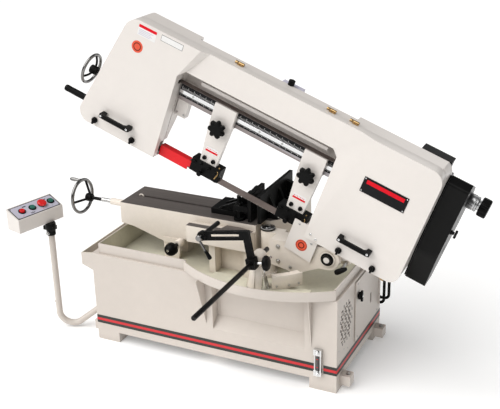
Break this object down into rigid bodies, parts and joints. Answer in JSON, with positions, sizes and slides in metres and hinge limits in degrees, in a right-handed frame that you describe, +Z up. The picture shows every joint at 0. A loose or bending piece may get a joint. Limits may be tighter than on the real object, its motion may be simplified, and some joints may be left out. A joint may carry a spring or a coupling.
{
  "type": "horizontal band saw",
  "caption": "Horizontal metal-cutting band saw with cabinet base, mitering blade bow, quick vise, length stop and swivelling push-button console.",
  "frame": {"origin": "centre of the cabinet's footprint on the floor", "axes": "+Z up, +X to the right along the cabinet towards the drive end, -Y towards the operator"},
  "size_m": [1.8136, 0.989, 1.3125],
  "materials": {
    "cabinet_paint": "semi-gloss beige enamel",
    "cover_paint": "semi-gloss warm white enamel",
    "stripe_paint": "gloss red and black band",
    "tray_paint": "olive grey enamel",
    "bed_casting": "painted sides, machined top",
    "black_casting": "black enamel, ground faces",
    "arm_paint": "beige enamel on casting",
    "black_plastic": "moulded, fine grain",
    "dark_steel": "oiled dark steel",
    "bright_steel": "brushed",
    "chrome": "polished",
    "brass": "plated hinge",
    "rail_steel": "ground",
    "scale_print": null,
    "blade_steel": "rolled spring steel",
    "grey_paint": "satin",
    "guard_red": "gloss red",
    "cover_black": "satin black",
    "rubber": "matt",
    "console_grey": "satin warm white, lilac-grey panel",
    "button_red": "gloss",
    "button_green": "gloss",
    "alloy": "cast and turned"
  },
  "bodies": {
    "base": {"cabinet": "cabinet_paint", "stripe": "stripe_paint", "chip_tray": "tray_paint", "front_pan": "cabinet_paint", "level_gauge": "chrome", "bed": "bed_casting", "fixed_jaw": "black_casting", "miter_column": "dark_steel", "miter_quadrant": "arm_paint", "stop_boss": "arm_paint", "stop_rod": "dark_steel", "control_post": "cabinet_paint", "cables": "rubber"},
    "door": {"side_door": "cabinet_paint"},
    "door_latch": {"side_latch": "black_plastic"},
    "valve": {"coolant_valve": "black_plastic"},
    "stop": {"stop_arm": "black_casting"},
    "stop_clamp": {"stop_knob": "black_plastic"},
    "stop_bar": {"stop_pin": "dark_steel"},
    "stop_grip": {"stop_lever": "chrome"},
    "swivel": {"swivel_arm": "arm_paint", "pivot_pin": "dark_steel"},
    "swivel_lock": {"swivel_lever": "black_plastic"},
    "bow": {"bow_frame": "cover_paint", "guide_rail": "rail_steel", "rail_scales": "scale_print", "blade": "blade_steel", "guard_plate": "cover_paint", "cover_hinges": "brass", "lift_grip": "rubber", "gearbox": "grey_paint", "motor": "grey_paint", "drive_belt": "rubber"},
    "cover": {"blade_cover": "cover_paint", "cover_handles": "black_plastic"},
    "latch_1": {"latch_a": "black_plastic"},
    "latch_2": {"latch_b": "black_plastic"},
    "latch_3": {"latch_c": "black_plastic"},
    "latch_4": {"latch_d": "black_plastic"},
    "tension": {"tension_slide": "dark_steel"},
    "tension_screw": {"tension_wheel": "chrome"},
    "idler": {"idler_wheel": "grey_paint"},
    "drive": {"drive_wheel": "grey_paint"},
    "gear_in": {"gear_pulley": "bright_steel"},
    "motor_out": {"motor_pulley": "bright_steel"},
    "belt_cover": {"pulley_cover": "cover_black"},
    "belt_cover_knob": {"pulley_knob": "black_plastic"},
    "speed": {"speed_knob": "alloy"},
    "guide_l": {"guide_left": "cover_paint", "blade_guard": "guard_red"},
    "guide_r": {"guide_right": "cover_paint"},
    "star_l": {"star_left": "black_plastic"},
    "star_r": {"star_right": "black_plastic"},
    "jaw": {"vise_jaw": "black_casting"},
    "screw": {"lead_screw": "dark_steel"},
    "console": {"control_box": "console_grey"},
    "btn_red": {"button_red": "button_red"},
    "btn_start": {"button_start": "button_green"},
    "btn_stop": {"button_stop": "button_red"},
    "btn_feed": {"button_feed": "button_green"}
  },
  "joints": [
    {"name": "miter_swivel", "type": "hinge", "parent": "base", "child": "swivel", "pos_m": [0.159, -0.051, 0.46], "axis": [0, 0, 1], "range_deg": [0, 45]},
    {"name": "head_lift", "type": "hinge", "parent": "swivel", "child": "bow", "pos_m": [0.435, -0.086, 0.486], "axis": [0, 1, 0], "range_deg": [-20.5, 13]},
    {"name": "swivel_lock_turn", "type": "hinge", "parent": "swivel", "child": "swivel_lock", "pos_m": [0.486, -0.09, 0.452], "axis": [0, 1, 0], "range_deg": [-30, 30]},
    {"name": "cover_open", "type": "hinge", "parent": "bow", "child": "cover", "pos_m": [0.26257, -0.102, 1.1099], "axis": [-0.9367, 0, 0.3502], "range_deg": [0, 75]},
    {"name": "latch_1_turn", "type": "hinge", "parent": "cover", "child": "latch_1", "pos_m": [-0.51392, -0.156, 0.90911], "axis": [0, 1, 0], "range_deg": [0, 90]},
    {"name": "latch_2_turn", "type": "hinge", "parent": "cover", "child": "latch_2", "pos_m": [-0.35374, -0.156, 0.84923], "axis": [0, 1, 0], "range_deg": [0, 90]},
    {"name": "latch_3_turn", "type": "hinge", "parent": "cover", "child": "latch_3", "pos_m": [0.48738, -0.156, 0.54328], "axis": [0, 1, 0], "range_deg": [0, 90]},
    {"name": "latch_4_turn", "type": "hinge", "parent": "cover", "child": "latch_4", "pos_m": [0.61664, -0.156, 0.49496], "axis": [0, 1, 0], "range_deg": [0, 90]},
    {"name": "tension_turn", "type": "hinge", "parent": "bow", "child": "tension_screw", "pos_m": [-0.52109, -0.078, 1.0698], "axis": [0.9367, 0, -0.3502], "range_deg": [0, 360]},
    {"name": "tension_travel", "type": "slide", "parent": "bow", "child": "tension", "axis": [0.9367, 0, -0.3502], "range_m": [0, 0.005]},
    {"name": "idler_spin", "type": "hinge", "parent": "tension", "child": "idler", "pos_m": [-0.35249, -0.109, 1.00676], "axis": [0, 1, 0], "continuous": true},
    {"name": "drive_spin", "type": "hinge", "parent": "bow", "child": "drive", "pos_m": [0.61228, -0.06, 0.64605], "axis": [0, 1, 0], "continuous": true},
    {"name": "gear_input_spin", "type": "hinge", "parent": "bow", "child": "gear_in", "pos_m": [0.76853, 0.01, 0.52144], "axis": [0.9367, 0, -0.3502], "continuous": true},
    {"name": "motor_spin", "type": "hinge", "parent": "bow", "child": "motor_out", "pos_m": [0.84978, 0.062, 0.73875], "axis": [0.9367, 0, -0.3502], "continuous": true},
    {"name": "belt_cover_open", "type": "hinge", "parent": "bow", "child": "belt_cover", "pos_m": [0.79484, 0.124, 0.67175], "axis": [0.3502, 0, 0.9367], "range_deg": [0, 90]},
    {"name": "belt_cover_knob_turn", "type": "hinge", "parent": "belt_cover", "child": "belt_cover_knob", "pos_m": [0.87901, -0.074, 0.64561], "axis": [0.9367, 0, -0.3502], "range_deg": [0, 90]},
    {"name": "speed_turn", "type": "hinge", "parent": "belt_cover", "child": "speed", "pos_m": [0.91535, 0.062, 0.71423], "axis": [0.9367, 0, -0.3502], "range_deg": [-135, 135]},
    {"name": "left_guide_slide", "type": "slide", "parent": "bow", "child": "guide_l", "axis": [0.9367, 0, -0.3502], "range_m": [-0.07, 0.1]},
    {"name": "right_guide_slide", "type": "slide", "parent": "bow", "child": "guide_r", "axis": [0.9367, 0, -0.3502], "range_m": [-0.1, 0]},
    {"name": "left_star_turn", "type": "hinge", "parent": "guide_l", "child": "star_l", "pos_m": [0.00759, -0.15, 0.93619], "axis": [0, 1, 0], "range_deg": [0, 180]},
    {"name": "right_star_turn", "type": "hinge", "parent": "guide_r", "child": "star_r", "pos_m": [0.35791, -0.15, 0.80521], "axis": [0, 1, 0], "range_deg": [0, 180]},
    {"name": "vise_slide", "type": "slide", "parent": "base", "child": "jaw", "axis": [1, 0, 0], "range_m": [-0.33, 0.025]},
    {"name": "vise_screw_spin", "type": "hinge", "parent": "base", "child": "screw", "pos_m": [-0.6, 0.02, 0.492], "axis": [1, 0, 0], "continuous": true},
    {"name": "stop_slide", "type": "slide", "parent": "base", "child": "stop", "axis": [0, 1, 0], "range_m": [-0.39, 0]},
    {"name": "stop_clamp_turn", "type": "hinge", "parent": "stop", "child": "stop_clamp", "pos_m": [0.24451, -0.307, 0.51342], "axis": [0.9836, 0, 0.1805], "range_deg": [0, 270]},
    {"name": "stop_bar_slide", "type": "slide", "parent": "stop", "child": "stop_bar", "axis": [0, 1, 0], "range_m": [-0.06, 0.006]},
    {"name": "stop_grip_turn", "type": "hinge", "parent": "stop_bar", "child": "stop_grip", "pos_m": [0.01748, -0.33, 0.58155], "axis": [0, 1, 0], "range_deg": [-60, 40]},
    {"name": "door_open", "type": "hinge", "parent": "base", "child": "door", "pos_m": [0.526, 0.209, 0.25], "axis": [0, 0, 1], "range_deg": [0, 95]},
    {"name": "door_latch_turn", "type": "hinge", "parent": "door", "child": "door_latch", "pos_m": [0.53, -0.038, 0.31], "axis": [1, 0, 0], "range_deg": [0, 90]},
    {"name": "coolant_turn", "type": "hinge", "parent": "base", "child": "valve", "pos_m": [-0.213, -0.12, 0.415], "axis": [0, 1, 0], "range_deg": [-45, 90]},
    {"name": "console_swivel", "type": "hinge", "parent": "base", "child": "console", "pos_m": [-0.719, -0.23, 0.44], "axis": [0, 0, 1], "range_deg": [-45, 45]},
    {"name": "red_button_press", "type": "slide", "parent": "console", "child": "btn_red", "axis": [-0.3626, 0.0985, -0.9267], "range_m": [0, 0.003]},
    {"name": "start_button_press", "type": "slide", "parent": "console", "child": "btn_start", "axis": [-0.3626, 0.0985, -0.9267], "range_m": [0, 0.003]},
    {"name": "stop_button_press", "type": "slide", "parent": "console", "child": "btn_stop", "axis": [-0.3626, 0.0985, -0.9267], "range_m": [0, 0.005]},
    {"name": "feed_button_press", "type": "slide", "parent": "console", "child": "btn_feed", "axis": [-0.3626, 0.0985, -0.9267], "range_m": [0, 0.003]}
  ],
  "couplings": [
    {"joint": "tension_turn", "follows": "tension_travel", "rad_per_m": 1200},
    {"joint": "idler_spin", "follows": "drive_spin", "ratio": 1},
    {"joint": "gear_input_spin", "follows": "drive_spin", "ratio": 20},
    {"joint": "motor_spin", "follows": "drive_spin", "ratio": 31}
  ]
}
